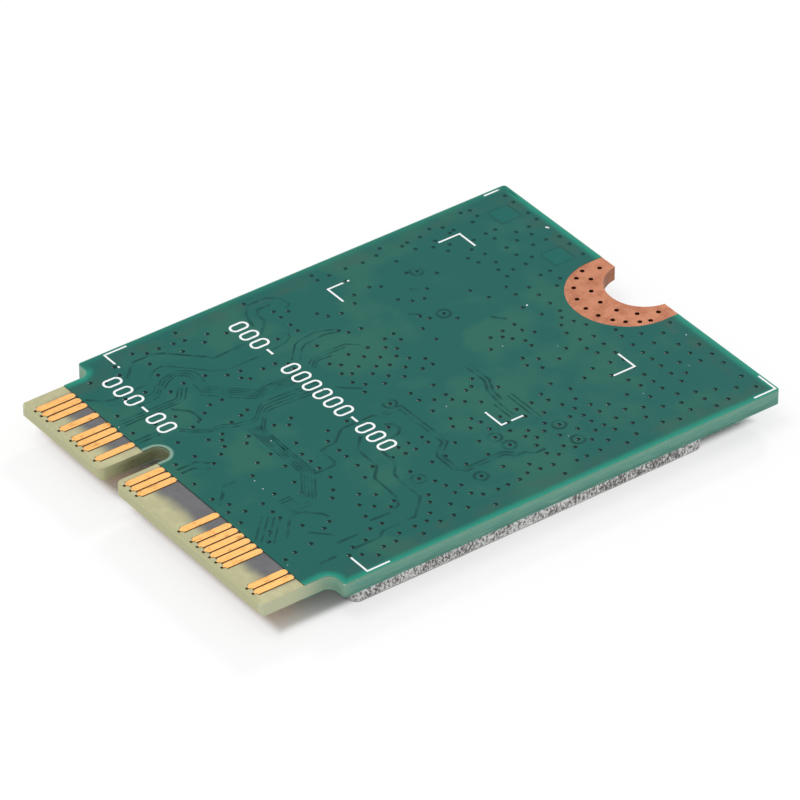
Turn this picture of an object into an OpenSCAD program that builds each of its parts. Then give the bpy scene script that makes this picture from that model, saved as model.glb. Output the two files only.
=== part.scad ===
// A wireless card for a laptop. A thin board has contacts and a key slot at one
// end, a half-round screw notch at the other, and a shielded radio on the face
// that looks down. X runs from the contacts to the notch, Y across the board and
// Z up. The card lies on its shield, and the origin is under its middle.

/* [Board] */
// Length from the contact edge to the screw edge
board_l = 30; // [29:0.5:42]
// Width over the two long edges
board_w = 22; // [21.6:0.1:24]
// Thickness over both solder masks
board_t = 0.8; // [0.7:0.02:1]
// Radius of the outer corners
corner_r = 0.2; // [0.1:0.05:0.5]

/* [Contact tab] */
// Length of the narrow tab that plugs in
tab_l = 4; // [3.8:0.1:4.4]
// Width of the tab
tab_w = 19.85; // [19.5:0.05:20.2]
// Radius of the tab's outer corners
tab_corner_r = 0.2; // [0.1:0.05:0.5]
// Length of the bevels on the contact edge, where the plating tracks end
edge_bevel_l = 0.14; // [0.04:0.01:0.16]
// Height of each of the two bevels
edge_bevel_h = 0.12; // [0.04:0.02:0.2]
// Radius of the inner corners beside the tab
shoulder_r = 0.5; // [0.1:0.05:0.5]
// Distance of the key slot's centre from the board's middle
key_y = 2.625; // [2.6:0.025:2.65]
// Width of the key slot
key_w = 1.2; // [1.1:0.05:1.3]
// Depth of the key slot from the contact edge
key_l = 3.5; // [3:0.1:3.7]
// Radius of the two corners at the key slot's mouth
mouth_r = 0.4; // [0.1:0.05:0.5]

/* [Contacts] */
// Distance between two neighbouring contacts of one face
contact_pitch = 0.5; // [0.48:0.01:0.51]
// Width of a contact
contact_w = 0.4; // [0.3:0.01:0.42]
// Bare board between the edge and a contact's tip
contact_tip = 0.34; // [0.2:0.01:0.4]
// Radius of the tip's corners
contact_tip_r = 0.14; // [0.05:0.01:0.15]
// Width of the plating track that runs on from the tip
contact_neck_w = 0.12; // [0.06:0.01:0.16]
// Length of the narrowing end at the solder mask
contact_taper = 0.16; // [0.1:0.02:0.4]
// Width of that end where it meets the solder mask
contact_end_w = 0.2; // [0.1:0.02:0.26]

/* [Layers] */
// Length of the bare strip between the contact edge and the solder masks
bare_l = 2.48; // [2:0.04:3]
// Thickness of a solder mask
mask_t = 0.04; // [0.035:0.005:0.06]
// Thickness of bare copper and its gold
copper_t = 0.03; // [0.02:0.005:0.035]
// Thickness of the plating in the notch and in the open vias
plating_t = 0.03; // [0.02:0.005:0.05]
// Thickness of the printed marks
legend_t = 0.015; // [0.01:0.005:0.03]
// Thickness of the solder under a component
solder_t = 0.05; // [0.04:0.005:0.06]
// Width by which a copper land is larger than what is soldered to it
land_margin = 0.05; // [0.02:0.01:0.06]
// Gap between a land and the edge of its window in the mask
window_gap = 0.04; // [0.02:0.01:0.05]

/* [Screw notch] */
// Radius of the half-round notch
notch_r = 2; // [1.6:0.05:2.2]
// Distance of the notch's centre beyond the screw edge
notch_out = 0.25; // [0:0.05:0.5]
// Radius of the copper pad around the notch
pad_r = 3.05; // [2.9:0.05:3.2]
// Distance of the copper pad's centre inside the screw edge
pad_in = 0.85; // [0.5:0.05:1]
// Width of an open via in the pad
pad_via_d = 0.25; // [0.2:0.01:0.3]

/* [Covered vias] */
// Width of the dish that the mask makes over a via
via_d = 0.28; // [0.2:0.01:0.34]
// Depth of that dish
via_sink = 0.03; // [0.02:0.002:0.034]

/* [Printed marks] */
// Width of a corner mark's line
mark_line = 0.1; // [0.08:0.01:0.18]
// Width of the line that the zeros and dashes are printed with
code_line = 0.12; // [0.08:0.01:0.16]
// Length of a corner mark's arm
mark_arm = 1.3; // [1:0.1:1.6]
// Distance of the outer corner marks from the long edges
mark_side_in = 0.2; // [0.15:0.05:0.5]
// Distance of the outer corner marks from the screw edge
mark_end_in = 0.15; // [0.1:0.05:0.4]
// Distance of the outer corner marks from the tab
mark_tab_in = 1.45; // [1:0.05:2]
// Near side of the label field that the inner corner marks frame
field_x = 17.45; // [17:0.05:18]
// Length of the label field
field_l = 8.1; // [7:0.1:8.5]
// Lower side of the label field
field_y = -5.3; // [-6:0.1:-5]
// Width of the label field
field_w = 14.15; // [13:0.05:15]
// Height of a printed zero
zero_h = 1.06; // [0.9:0.02:1.2]
// Width of a printed zero
zero_w = 0.64; // [0.5:0.02:0.7]
// Length of a printed dash
dash_l = 0.5; // [0.3:0.05:0.6]
// Near side of the short row of zeros
short_row_x = 3.95; // [3.8:0.05:4.2]
// First zero of the short row
short_row_y = 8.7; // [8:0.1:9]
// Distance between two zeros of the short row
short_row_pitch = 0.92; // [0.8:0.02:1]
// Near side of the long row of zeros
long_row_x = 11.55; // [11:0.05:12]
// First zero of the long row
long_row_y = 8.85; // [8:0.05:9]
// Distance between two zeros of the long row
long_row_pitch = 0.87; // [0.8:0.01:0.9]

/* [Shield] */
// Distance of the shield from the contact edge
shield_x = 4.9; // [4.8:0.1:5.4]
// Length of the shield over its cover
shield_l = 20.9; // [20.6:0.1:21]
// Width of the shield over its cover
shield_w = 21; // [20.4:0.1:21.1]
// Height from the board's lower face to the outside of the cover
shield_h = 1.2; // [1.16:0.02:1.5]
// Radius of the shield's upright corners
shield_corner_r = 0.5; // [0.3:0.05:1]
// Outer radius of the cover's bent lower edge
bend_r = 0.18; // [0.16:0.02:0.28]
// Thickness of the cover's sheet
cover_t = 0.12; // [0.1:0.01:0.15]
// Gap between the cover's rim and the board
rim_gap = 0.1; // [0.06:0.02:0.3]
// Gap between the cover's wall and the frame
frame_clear = 0.03; // [0.02:0.01:0.05]
// Thickness of the frame's sheet
frame_t = 0.12; // [0.1:0.01:0.13]
// Width of the frame's inward lip
lip_w = 0.6; // [0.4:0.05:1]
// Width of the frame's two cross bars
bar_w = 1.4; // [1:0.1:2]
// Width of the round plate where the cross bars meet
pickup_d = 4; // [3:0.5:5]
// Width by which the solder stands out beside the frame's wall
fillet_w = 0.08; // [0.05:0.01:0.09]

/* [Antenna sockets] */
// Distance of the sockets from the screw edge
socket_in = 2; // [1.6:0.1:2.6]
// Distance of the sockets from the board's middle
socket_y = 7.5; // [6.5:0.1:8.5]
// Outer width of the round ring that a plug grips
ring_d = 1.5; // [1.4:0.02:1.56]
// Thickness of the ring's wall
ring_t = 0.12; // [0.08:0.01:0.16]
// Height of the ring above the flange
ring_h = 0.34; // [0.25:0.01:0.4]
// Width of the square flange under the ring
flange_w = 1.9; // [1.8:0.05:2.1]
// Thickness of the flange and its feet
flange_t = 0.08; // [0.06:0.01:0.12]
// Length of a foot along the board's length
foot_l = 1.2; // [0.8:0.1:1.4]
// Height of the plastic base
base_h = 0.24; // [0.2:0.01:0.3]
// Width of the centre pin
pin_d = 0.34; // [0.25:0.01:0.4]
// Height of the centre pin
pin_h = 0.56; // [0.4:0.01:0.6]
// Width of the pin's flat tail
tail_w = 0.3; // [0.2:0.02:0.32]

/* [Chips] */
// Width of the radio chip
radio_w = 9; // [8:0.1:9.2]
// Height of the radio chip
radio_h = 0.8; // [0.6:0.05:0.85]
// Width of the ground pad under the radio chip
radio_pad_w = 6; // [4:0.1:7]
// Width of a front end chip
front_end_w = 3; // [2.6:0.1:3.2]
// Height of a front end chip
front_end_h = 0.6; // [0.5:0.05:0.8]
// Width of the ground pad under a front end chip
front_end_pad_w = 1.7; // [1.2:0.1:1.8]
// Width of the voltage regulator
regulator_w = 2.5; // [2.4:0.1:2.7]
// Height of the voltage regulator
regulator_h = 0.6; // [0.5:0.05:0.8]
// Width of the ground pad under the regulator
regulator_pad_w = 1.2; // [0.8:0.1:1.3]
// Length of the memory chip
memory_l = 3; // [2.6:0.1:3.2]
// Width of the memory chip
memory_w = 2; // [1.9:0.1:2.4]
// Height of the memory chip
memory_h = 0.55; // [0.4:0.05:0.8]
// Distance between two leads of a chip
lead_pitch = 0.5; // [0.46:0.01:0.52]
// Length of a chip's flat lead
lead_l = 0.35; // [0.25:0.05:0.4]
// Width of a chip's flat lead
lead_w = 0.22; // [0.18:0.01:0.26]
// Thickness of a chip's flat lead
lead_t = 0.1; // [0.06:0.01:0.15]

/* [Crystal] */
// Length of the crystal's ceramic case
crystal_l = 3.2; // [2.8:0.1:3.3]
// Width of the crystal's ceramic case
crystal_w = 2.5; // [2.2:0.1:2.6]
// Height of the ceramic case
crystal_h = 0.5; // [0.3:0.05:0.6]
// Thickness of its metal lid
crystal_lid_t = 0.12; // [0.05:0.01:0.16]
// Distance of the lid from the sides of the case
crystal_lid_in = 0.18; // [0.1:0.02:0.3]
// Length of a terminal under the case
crystal_end_l = 0.9; // [0.6:0.05:1]
// Width of a terminal under the case
crystal_end_w = 0.75; // [0.5:0.05:0.8]

/* [Small components] */
// Length of a power inductor
inductor_l = 2; // [1.8:0.1:2.2]
// Width of a power inductor
inductor_w = 1.6; // [1.2:0.1:1.8]
// Height of a power inductor
inductor_h = 0.8; // [0.6:0.05:0.85]
// Length of an inductor's metal end
inductor_end = 0.45; // [0.3:0.05:0.6]
// Length of a band filter
filter_l = 1.6; // [1.4:0.05:1.8]
// Width of a band filter
filter_w = 0.8; // [0.6:0.05:1]
// Height of a band filter
filter_h = 0.6; // [0.5:0.05:0.8]
// Length of a filter's metal end
filter_end = 0.3; // [0.2:0.05:0.4]
// Length of a capacitor
capacitor_l = 1; // [0.9:0.05:1.1]
// Width of a capacitor
capacitor_w = 0.5; // [0.4:0.05:0.6]
// Height of a capacitor
capacitor_h = 0.5; // [0.4:0.05:0.7]
// Length of a capacitor's metal end
capacitor_end = 0.25; // [0.2:0.05:0.3]
// Length of a resistor
resistor_l = 0.6; // [0.55:0.05:0.7]
// Width of a resistor
resistor_w = 0.3; // [0.25:0.05:0.4]
// Height of a resistor without its film
resistor_h = 0.2; // [0.15:0.01:0.3]
// Length of a resistor's metal end
resistor_end = 0.15; // [0.1:0.01:0.18]
// Thickness of the dark film on a resistor
film_t = 0.03; // [0.02:0.01:0.05]

/* [Hidden] */
$fn = 64;

// Heights from the cover's outside up to the printed marks
z_face = shield_h;
z_core = z_face + mask_t;
core_t = board_t - 2 * mask_t;
z_back = z_core + core_t;
z_top = z_back + mask_t;
z_seat = z_core - copper_t - solder_t;

// The frame follows the inside of the cover
frame_l = shield_l - 2 * (cover_t + frame_clear);
frame_w = shield_w - 2 * (cover_t + frame_clear);
frame_r = shield_corner_r - cover_t - frame_clear;

// No inside corner of the frame is tighter than this radius
tightest_r = 0.02;

// The dish over a via is part of a ball of this radius
via_ball_r = (via_d * via_d / 4 + via_sink * via_sink) / (2 * via_sink);

// Numbers of the contacts, counted along the tab from its left side
BACK_PINS = [2, 4, 6, 10, 14, 16, 18, 22, 32, 34, 36, 50, 54, 56, 58, 60, 62, 64, 72, 74];
LOWER_PINS = [for (n = [1:2:75]) if (n < 25 || n > 31) n];
MIDDLE_PIN = 38;

// Two rows of open vias in the screw pad, as angles around each row's centre
INNER_VIA_ANGLES = [106, 131, 155.5, 180, 204.5, 229, 254];
OUTER_VIA_ANGLES = [111, 125, 142, 162, 180, 197, 213, 226, 240, 251];
INNER_ROW_R = 2.45;
OUTER_ROW_R = 2.85;
OUTER_ROW_IN = 0.5;

// Covered vias in columns: distance from the contact edge, then places across
VIA_COLUMNS = [
  [2.9, [4.7, -0.4, -1.9, -3.2, -4.2, -7.8]],
  [3.1, [6.3, 1.4, -6.2]],
  [3.3, [-2.7]],
  [3.6, [9.3, -3.6, -5.6, -7.6]],
  [4.2, [8.9, 7.2, 4.7, 2.8, 1.4]],
  [4.6, [0.4, -3.6, -4.4, -5, -7.5]],
  [5.1, [9, -6.1]],
  [5.3, [9.7, 7.1, 4.6, 0.8]],
  [5.5, [3.4, 2.1, -1.5, -3.3, -9.3]],
  [5.8, [1.2, -6.9]],
  [6, [1.7, -8.9, -9.6]],
  [6.1, [3.7]],
  [6.3, [6.4, 2.1, -0.8, -6.6]],
  [6.6, [10.1, 7.9, 4, -4, -10.1]],
  [6.8, [8.9, 0.8, -3.1, -8.8]],
  [7.2, [9.7, 6.6, 4.4, 2.6, 1.2, -0.6, -1.8, -9.7]],
  [7.5, [-5.2, -8.2]],
  [7.9, [9.7, 4.4, 2.8, -4.7, -7.3, -9.7]],
  [8.2, [-6.4, -8.2]],
  [8.4, [6.5, 3, -1.5, -2.2, -2.9, -3.8, -9.3]],
  [8.7, [9.6, 8.8, 1.2, -0.6, -5.7, -6.9]],
  [9.3, [10.3, 9.5, 5.9, 0.8, -6.2, -7.4, -9.3, -10]],
  [9.7, [5.3, 1.2, -4.8, -7.1]],
  [10, [8.8, 5.8, 5, -1.4, -2.3, -2.9, -3.8, -9.3]],
  [10.5, [9.3, -0.7, -4.3, -8.9, -9.7]],
  [11, [5.3, -8.2]],
  [11.3, [8.8, -7.7, -9.7]],
  [11.7, [5.3, -0.6, -4.3, -5.7, -6.4, -8.9]],
  [12.2, [4.9, 4.4, -7, -9.6]],
  [12.4, [6.9, -2.2, -3.8, -4.4, -7.6, -8.3]],
  [13, [6.9, -2.2, -3.8, -4.4, -5.7, -8, -8.8]],
  [13.4, [10.3, -9.2, -10.2]],
  [13.8, [3.7, 2.7, 1.8, 0.8, -3.8, -4.3, -5.7]],
  [14.2, [8.9, 8.3, 7.5, 6.9, 5.3, 3.3, 2.4, 1.3, -0.7, -6.8, -8, -9.3]],
  [14.8, [8.5, 2.7, -5.1, -9.3]],
  [15, [3.8, 1.8, 0.8]],
  [15.5, [3.2, 2.2, 1.2, -0.6, -1.3, -2.4, -4, -6.8, -8, -9.3]],
  [15.8, [7.5, 5.7, -3.4, -5.7]],
  [16.1, [7, 5.3, 3.7, 2.7, 1.9, 0.7, -1.7, -4.6, -9.1]],
  [16.6, [1.3, -4, -5.9, -8.6]],
  [16.8, [6.8, 5.2, 3.2, 2.3, -0.7, -1.7, -2.2, -4.5, -5.2, -6.8, -9.2]],
  [17.2, [3.8, 2.8, 1.8, 0.7, -2.7]],
  [17.5, [10.3, 9.8, -5.9, -9.3, -10.2]],
  [17.8, [7.1, 3.9, 3.3, 1.3, 0.7, -2, -3.2, -4.7, -5.3, -6.7, -7.6, -8.4]],
  [18.2, [9.8, 7.7, -1.9, -6.4, -7.1, -8.8]],
  [18.6, [8.9, -1.4, -9.7]],
  [18.8, [-4.7, -5.4, -6.9, -8.4]],
  [19.2, [9.8, 7.8, 3.4, 2.3, -2.7, -6.4, -7.6, -8.8, -9.7]],
  [19.7, [7.5, 6.1, 4.3, -4.7, -5.7, -6.9, -8.4]],
  [20, [3.9, -9.7]],
  [20.2, [9.7, 5.6, -7.7, -8.8]],
  [20.5, [-4.4, -5, -6.7]],
  [20.8, [5.4, 3.8, 0, -5.7, -8.3, -9.3]],
  [21.1, [9.8, 3.1, -6.3, -7, -7.6]],
  [21.4, [7.7, 6, 0.8, -2.1, -4, -8.2, -10]],
  [21.6, [10.2, 8.8, -1.5, -5.7, -8.8]],
  [21.9, [7.5, 0.5, -2.7, -4.9, -6.5, -7.2]],
  [22.2, [0.9, 0.1, -2, -8.1, -9.7]],
  [22.6, [9.7, 6.8, -0.4, -0.9, -7, -8.9]],
  [23, [9.8, 9.1, 4.6, 1, 0.4, -2.6, -4.6, -7.8]],
  [23.4, [3.6, -0.1, -8.9]],
  [23.8, [9.8, 8.7, -2.1, -4.2, -6.9, -8.2, -9.7]],
  [24.2, [9.1, 8, 1.9, -5.2]],
  [24.6, [10.1, 8.4, 6.9, 3.8, 3, 0.9, -1.1, -2.7, -6, -7.7, -8.7, -10]],
  [24.8, [6.3, -0.4, -1.9, -3.3, -4.3, -6.7]],
  [25.2, [9.8, 9.2, 7.4, 5.2, 4.5, 0.1]],
  [25.5, [6.7, 5.8, 3.1, 2.3, 1.4, 0.6, -0.5, -2.1, -2.9, -3.8, -4.5, -5.3]],
  [25.5, [9.3, -6.1, -6.8, -7.5, -9, -9.7]],
  [25.8, [8, 4.8, -1.1, -8.3]],
  [26.6, [8.1, 4.8, 3.6, -2.9, -3.8, -4.6, -5.3, -6, -6.8, -7.6, -8.7, -9.4]],
  [26.7, [10.3, 9.3, 7.5, 6.5, 5.7, 2.4, -2.3, -10.2]],
  [27.2, [10.2, 9.6, 8.1, 5.1, 3.6, 2.8, -7.2]],
  [27.5, [6.7, -3.3, -4.3, -5.3, -6.3, -9.1, -10.1]],
  [27.9, [7.3, 5.9]],
  [28.4, [6.7, -3.9, -5.1, -6, -6.8, -9.6]],
  [28.7, [7.3, 5.9]],
  [29.2, [-3.4, -5.7, -6.7, -7.6, -9, -10.1]],
  [29.4, [10.2, 9.5, 8.3, 7.6, 5.7, 4.9, 3.8]]
];

// Places under the shield: distance from its near side, place across, turn
RADIO_AT = [[10.8, 2.3, 0]];
FRONT_ENDS_AT = [[13.8, -7, 0], [17.4, -0.3, 0]];
REGULATOR_AT = [[2.6, 0.8, 0]];
MEMORY_AT = [[8.6, -6.8, 0]];
CRYSTAL_AT = [[3.2, -4.6, 0]];
INDUCTORS_AT = [for (y = [4.2, 7.2]) [2.4, y, 90]];
FILTERS_AT = [for (y = [6, 3.4, -4.2, -7.2]) [17.4, y, 0]];
CAPACITORS_AT = concat(
  [for (i = [0:4]) [7 + 1.9 * i, 8.2, 90]],
  [for (i = [0:4]) [7.2 + 1.8 * i, -3.6, 90]],
  [for (i = [0:5]) [5.2, 1.5 * i - 1.5, 0]],
  [for (i = [0:7]) [19.6, 2.4 * i - 8.4, 90]]
);
RESISTORS_AT = concat(
  [for (i = [0:4]) [5.7, -3.4 - 1.2 * i, 0]],
  [for (i = [0:2]) [11.2, -5.6 - 1.1 * i, 0]],
  [[4.4, 7.6, 0], [4.4, 8.8, 0], [16.2, 8.6, 90], [16.2, -9, 0]]
);
RADIO_PINS = 16;
FRONT_END_PINS = 4;
REGULATOR_PINS = 3;
MEMORY_PINS = 4;

// Everything is measured from the middle of the contact edge
module from_edge() {
  translate([-board_l / 2, 0, 0]) children();
}

// Hangs what is drawn standing up from the board's lower face
module hanging() {
  from_edge() translate([0, 0, z_seat]) mirror([0, 0, 1]) children();
}

module each_at(places) {
  for (p = places)
    translate([shield_x + p[0], p[1], 0]) rotate(p[2]) children();
}

module at_sockets() {
  for (side = [-1, 1])
    translate([board_l - socket_in, side * socket_y, 0]) children();
}

module rounded(l, w, r) {
  square([l - 2 * r, w], center = true);
  square([l, w - 2 * r], center = true);
  for (x = [-1, 1])
    for (y = [-1, 1])
      translate([x * (l / 2 - r), y * (w / 2 - r)]) circle(r = r);
}

module box(l, w, h) {
  translate([-l / 2, -w / 2, 0]) cube([l, w, h]);
}

// Outline of the board

module key_slot() {
  translate([-key_w, key_y - key_w / 2]) square([key_l + key_w / 2, key_w]);
  translate([key_l - key_w / 2, key_y]) circle(d = key_w);
}

module shoulder() {
  translate([tab_l - shoulder_r, tab_w / 2]) difference() {
    square(shoulder_r);
    translate([0, shoulder_r]) circle(r = shoulder_r);
  }
}

// What the two round corners at the slot's mouth take away
module slot_mouth() {
  for (side = [-1, 1])
    translate([0, key_y + side * key_w / 2]) difference() {
      translate([-mouth_r, min(0, side * mouth_r)]) square([2 * mouth_r, mouth_r]);
      translate([mouth_r, side * mouth_r]) circle(r = mouth_r);
    }
}

module outline(notch) {
  body_l = board_l - tab_l;
  buried = 2 * tab_corner_r;
  difference() {
    union() {
      translate([(tab_l + buried) / 2, 0]) rounded(tab_l + buried, tab_w, tab_corner_r);
      translate([tab_l + body_l / 2, 0]) rounded(body_l, board_w, corner_r);
      shoulder();
      mirror([0, 1]) shoulder();
    }
    key_slot();
    slot_mouth();
    translate([board_l + notch_out, 0]) circle(r = notch);
  }
}

module pad_vias(d) {
  for (a = INNER_VIA_ANGLES)
    translate([board_l, 0]) rotate(a) translate([INNER_ROW_R, 0]) circle(d = d);
  for (a = OUTER_VIA_ANGLES)
    translate([board_l - OUTER_ROW_IN, 0]) rotate(a) translate([OUTER_ROW_R, 0]) circle(d = d);
}

module pad_area() {
  translate([board_l - pad_in, 0]) circle(r = pad_r);
  translate([board_l - pad_in, -pad_r]) square([pad_in + notch_out + 1, 2 * pad_r]);
}

module masked_area() {
  difference() {
    intersection() {
      outline(notch_r);
      translate([bare_l, -board_w]) square([board_l, 2 * board_w]);
    }
    pad_area();
  }
}

// Contacts

module contact() {
  body_l = bare_l - contact_taper - contact_tip;
  translate([contact_tip + body_l / 2, 0]) rounded(body_l, contact_w, contact_tip_r);
  translate([contact_tip + contact_tip_r, -contact_w / 2])
    square([body_l - contact_tip_r, contact_w]);
  translate([edge_bevel_l, -contact_neck_w / 2])
    square([contact_tip + contact_tip_r - edge_bevel_l, contact_neck_w]);
  polygon([
    [bare_l - contact_taper, -contact_w / 2],
    [bare_l, -contact_end_w / 2],
    [bare_l, contact_end_w / 2],
    [bare_l - contact_taper, contact_w / 2]
  ]);
}

module contacts(pins) {
  for (n = pins)
    translate([0, (MIDDLE_PIN - n) * contact_pitch / 2]) contact();
}

// Lands, drawn flat; grow widens each one on every side

module end_lands(l, w, end, grow) {
  for (side = [-1, 1])
    translate([side * (l - end) / 2, 0])
      square([end + 2 * grow, w + 2 * grow], center = true);
}

module lead_row(l, pins, grow) {
  for (i = [0:pins - 1])
    translate([(l - lead_l) / 2, (i - (pins - 1) / 2) * lead_pitch])
      square([lead_l + 2 * grow, lead_w + 2 * grow], center = true);
}

module quad_leads(w, pins, grow) {
  for (a = [0:90:270])
    rotate(a) lead_row(w, pins, grow);
}

module dual_leads(l, pins, grow) {
  for (a = [0, 180])
    rotate(a) lead_row(l, pins, grow);
}

module crystal_lands(grow) {
  for (x = [-1, 1])
    for (y = [-1, 1])
      translate([x * (crystal_l - crystal_end_l) / 2, y * (crystal_w - crystal_end_w) / 2])
        square([crystal_end_l + 2 * grow, crystal_end_w + 2 * grow], center = true);
}

module ground_pad(w, grow) {
  square(w + 2 * grow, center = true);
}

module socket_lands(grow) {
  for (side = [-1, 1])
    translate([0, side * (flange_w - flange_t) / 2])
      square([foot_l + 2 * grow, flange_t + 2 * grow], center = true);
  translate([-flange_w / 2 + tail_w / 2, 0]) square(tail_w + 2 * grow, center = true);
}

module all_lands(grow) {
  each_at(RADIO_AT) quad_leads(radio_w, RADIO_PINS, grow);
  each_at(RADIO_AT) ground_pad(radio_pad_w, grow);
  each_at(FRONT_ENDS_AT) quad_leads(front_end_w, FRONT_END_PINS, grow);
  each_at(FRONT_ENDS_AT) ground_pad(front_end_pad_w, grow);
  each_at(REGULATOR_AT) quad_leads(regulator_w, REGULATOR_PINS, grow);
  each_at(REGULATOR_AT) ground_pad(regulator_pad_w, grow);
  each_at(MEMORY_AT) dual_leads(memory_l, MEMORY_PINS, grow);
  each_at(CRYSTAL_AT) crystal_lands(grow);
  each_at(INDUCTORS_AT) end_lands(inductor_l, inductor_w, inductor_end, grow);
  each_at(FILTERS_AT) end_lands(filter_l, filter_w, filter_end, grow);
  each_at(CAPACITORS_AT) end_lands(capacitor_l, capacitor_w, capacitor_end, grow);
  each_at(RESISTORS_AT) end_lands(resistor_l, resistor_w, resistor_end, grow);
  at_sockets() socket_lands(grow);
}

module frame_ring(grow) {
  inner_r = max(tightest_r, frame_r - frame_t - grow);
  inner_cut = 2 * (frame_t + grow);
  translate([shield_x + shield_l / 2, 0]) difference() {
    rounded(frame_l + 2 * grow, frame_w + 2 * grow, frame_r + grow);
    rounded(frame_l - inner_cut, frame_w - inner_cut, inner_r);
  }
}

// The frame's flat lip with its two cross bars, set back from the wall by back
module frame_lip(back, open_l, open_w) {
  translate([shield_x + shield_l / 2, 0]) {
    difference() {
      rounded(frame_l - 2 * back, frame_w - 2 * back, max(tightest_r, frame_r - back));
      rounded(open_l, open_w, frame_r);
    }
    square([open_l + lip_w, bar_w], center = true);
    square([bar_w, open_w + lip_w], center = true);
    circle(d = pickup_d);
  }
}

// Board

// Side view of what a bevel takes off the contact edge
module bevel_cut() {
  polygon([
    [-edge_bevel_l, -edge_bevel_h],
    [2 * edge_bevel_l, -edge_bevel_h],
    [-edge_bevel_l, 2 * edge_bevel_h]
  ]);
}

module edge_bevels() {
  rotate([90, 0, 0]) linear_extrude(board_w, center = true) {
    bevel_cut();
    translate([0, core_t]) mirror([0, 1]) bevel_cut();
  }
}

module board_laminate() {
  color("darkkhaki") from_edge() translate([0, 0, z_core]) difference() {
    linear_extrude(core_t) difference() {
      outline(notch_r + plating_t);
      pad_vias(pad_via_d + 2 * plating_t);
    }
    edge_bevels();
  }
}

module back_mask() {
  color("seagreen") from_edge() difference() {
    translate([0, 0, z_back]) linear_extrude(mask_t) masked_area();
    for (column = VIA_COLUMNS)
      for (y = column[1])
        translate([column[0], y, z_top - via_sink + via_ball_r]) sphere(r = via_ball_r);
  }
}

module component_mask() {
  color("seagreen") from_edge() translate([0, 0, z_face])
    linear_extrude(mask_t) difference() {
      masked_area();
      all_lands(land_margin + window_gap);
      frame_ring(fillet_w + window_gap);
    }
}

module back_contacts() {
  color("goldenrod") from_edge() translate([0, 0, z_back])
    linear_extrude(copper_t) contacts(BACK_PINS);
}

module component_contacts() {
  color("goldenrod") from_edge() translate([0, 0, z_core - copper_t])
    linear_extrude(copper_t) contacts(LOWER_PINS);
}

module pad_copper() {
  linear_extrude(copper_t) difference() {
    intersection() {
      outline(notch_r);
      pad_area();
    }
    pad_vias(pad_via_d);
  }
}

module plated_walls() {
  linear_extrude(core_t) {
    intersection() {
      difference() {
        translate([board_l + notch_out, 0]) circle(r = notch_r + plating_t);
        translate([board_l + notch_out, 0]) circle(r = notch_r);
      }
      translate([0, -board_w / 2]) square([board_l, board_w]);
    }
    difference() {
      pad_vias(pad_via_d + 2 * plating_t);
      pad_vias(pad_via_d);
    }
  }
}

module screw_pad() {
  color("peru") from_edge() {
    translate([0, 0, z_back]) pad_copper();
    translate([0, 0, z_core]) plated_walls();
    translate([0, 0, z_core - copper_t]) pad_copper();
  }
}

// Printed marks: corner marks, and plain zeros where a code would stand

module corner_mark(along, across) {
  translate([along < 0 ? -mark_arm : 0, -mark_line / 2]) square([mark_arm, mark_line]);
  translate([-mark_line / 2, across < 0 ? -mark_arm : 0]) square([mark_line, mark_arm]);
  square(mark_line, center = true);
}

module field_marks(x, y, l, w) {
  for (i = [0, 1])
    for (j = [0, 1])
      translate([x + i * l, y + j * w]) corner_mark(1 - 2 * i, 1 - 2 * j);
}

module printed_zero() {
  difference() {
    rounded(zero_h, zero_w, zero_w / 2 - 0.01);
    rounded(zero_h - 2 * code_line, zero_w - 2 * code_line, zero_w / 2 - code_line - 0.01);
  }
}

module printed_dash() {
  square([code_line, dash_l], center = true);
}

module printed_row(x, y, pitch, count, blanks, dashes) {
  for (i = [0:count - 1])
    translate([x + zero_h / 2, y - i * pitch]) {
      if (len(search(i, blanks)) == 0 && len(search(i, dashes)) == 0) printed_zero();
      if (len(search(i, dashes)) > 0) printed_dash();
    }
}

module back_legend() {
  side = board_w / 2 - mark_side_in;
  near = tab_l + mark_tab_in;
  color("white") from_edge() translate([0, 0, z_top]) linear_extrude(legend_t) {
    field_marks(near, -side, board_l - mark_end_in - near, 2 * side);
    field_marks(field_x, field_y, field_l, field_w);
    printed_row(short_row_x, short_row_y, short_row_pitch, 6, [], [3]);
    printed_row(long_row_x, long_row_y, long_row_pitch, 15, [4], [3, 11]);
  }
}

// Copper and solder under the components

module component_lands() {
  color("goldenrod") from_edge() translate([0, 0, z_core - copper_t])
    linear_extrude(copper_t) {
      all_lands(land_margin);
      frame_ring(fillet_w);
    }
}

module solder_joints() {
  color("lightgray") from_edge() translate([0, 0, z_seat])
    linear_extrude(solder_t) all_lands(0);
}

// Shield

// A shallow tray with round upright corners and a round lower edge
module tray_side(w, h, edge) {
  translate([-w / 2, edge]) square([w, h - edge]);
  translate([edge - w / 2, 0]) square([w - 2 * edge, edge]);
  for (side = [-1, 1])
    translate([side * (w / 2 - edge), edge]) circle(r = edge);
}

module tray(l, w, h, r, edge) {
  translate([r - l / 2, 0, 0]) rotate([90, 0, 90])
    linear_extrude(l - 2 * r) tray_side(w, h, edge);
  translate([0, w / 2 - r, 0]) rotate([90, 0, 0])
    linear_extrude(w - 2 * r) tray_side(l, h, edge);
  for (x = [-1, 1])
    for (y = [-1, 1])
      translate([x * (l / 2 - r), y * (w / 2 - r), 0]) rotate_extrude()
        intersection() {
          tray_side(2 * r, h, edge);
          square([r, h]);
        }
}

module shield_cover() {
  color("silver") from_edge() translate([shield_x + shield_l / 2, 0, 0]) difference() {
    tray(shield_l, shield_w, z_face - rim_gap, shield_corner_r, bend_r);
    translate([0, 0, cover_t]) tray(
      shield_l - 2 * cover_t, shield_w - 2 * cover_t, z_face,
      shield_corner_r - cover_t, bend_r - cover_t
    );
  }
}

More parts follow.
